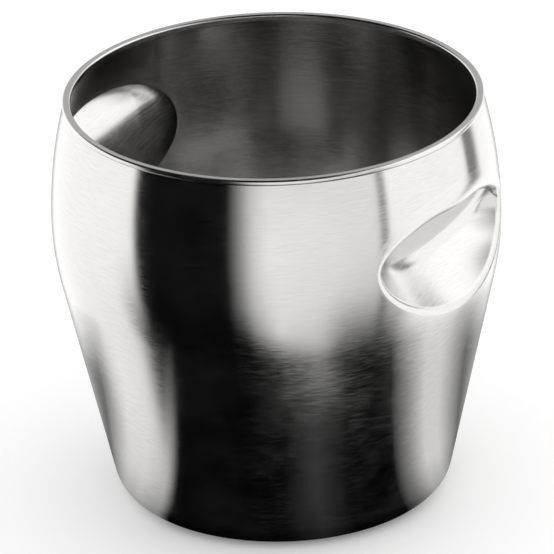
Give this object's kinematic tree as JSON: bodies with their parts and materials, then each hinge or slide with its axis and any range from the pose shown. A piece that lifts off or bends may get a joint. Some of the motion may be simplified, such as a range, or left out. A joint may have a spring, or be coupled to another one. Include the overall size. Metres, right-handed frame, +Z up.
{
  "type": "champagne bucket",
  "caption": "Barrel-shaped satin steel champagne bucket with a flared mouth ring, rounded foot and oval finger scoops pressed into opposite sides.",
  "frame": {"origin": "centre of the underside, on the plane of the ring it stands on", "axes": "+Z up the bucket's axis; +X and -X through the middles of the two finger scoops; +Y completes the right-handed frame"},
  "size_m": [0.2093, 0.2138, 0.201],
  "materials": {
    "wall_steel": "satin, brushed round the barrel",
    "pan_steel": "satin, brushed round the barrel",
    "rim_steel": "fine satin, nearly bright",
    "scoop_steel": "fine satin, bead smooth in the hollow"
  },
  "bodies": {
    "root": {"wall_shell": "wall_steel", "base_pan": "pan_steel", "rim_ring": "rim_steel", "grip_scoop_right": "scoop_steel", "grip_scoop_left": "scoop_steel"}
  },
  "joints": []
}
